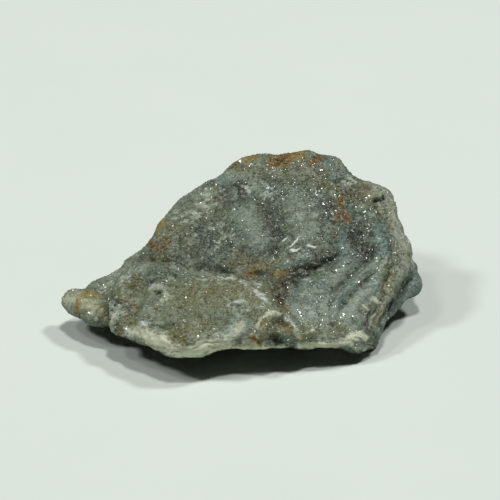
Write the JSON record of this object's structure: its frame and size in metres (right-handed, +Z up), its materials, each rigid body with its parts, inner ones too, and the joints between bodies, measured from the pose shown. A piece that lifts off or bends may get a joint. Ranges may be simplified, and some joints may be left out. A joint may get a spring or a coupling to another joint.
{
  "type": "chalcedony rose",
  "caption": "Single loose chalcedony rose: overlapping wavy petals fused into one low, tilted, lumpy stone that rests on a small flat spot.",
  "frame": {"origin": "centre of the bounding box, on the plane the stone rests on", "axes": "+X to the right along the longest extent, +Y away from the front, +Z up, along the shortest extent"},
  "size_m": [0.0622, 0.0486, 0.022],
  "materials": {
    "chalcedony": "satin"
  },
  "bodies": {
    "root": {"chalcedony_rose": "chalcedony"}
  },
  "joints": []
}
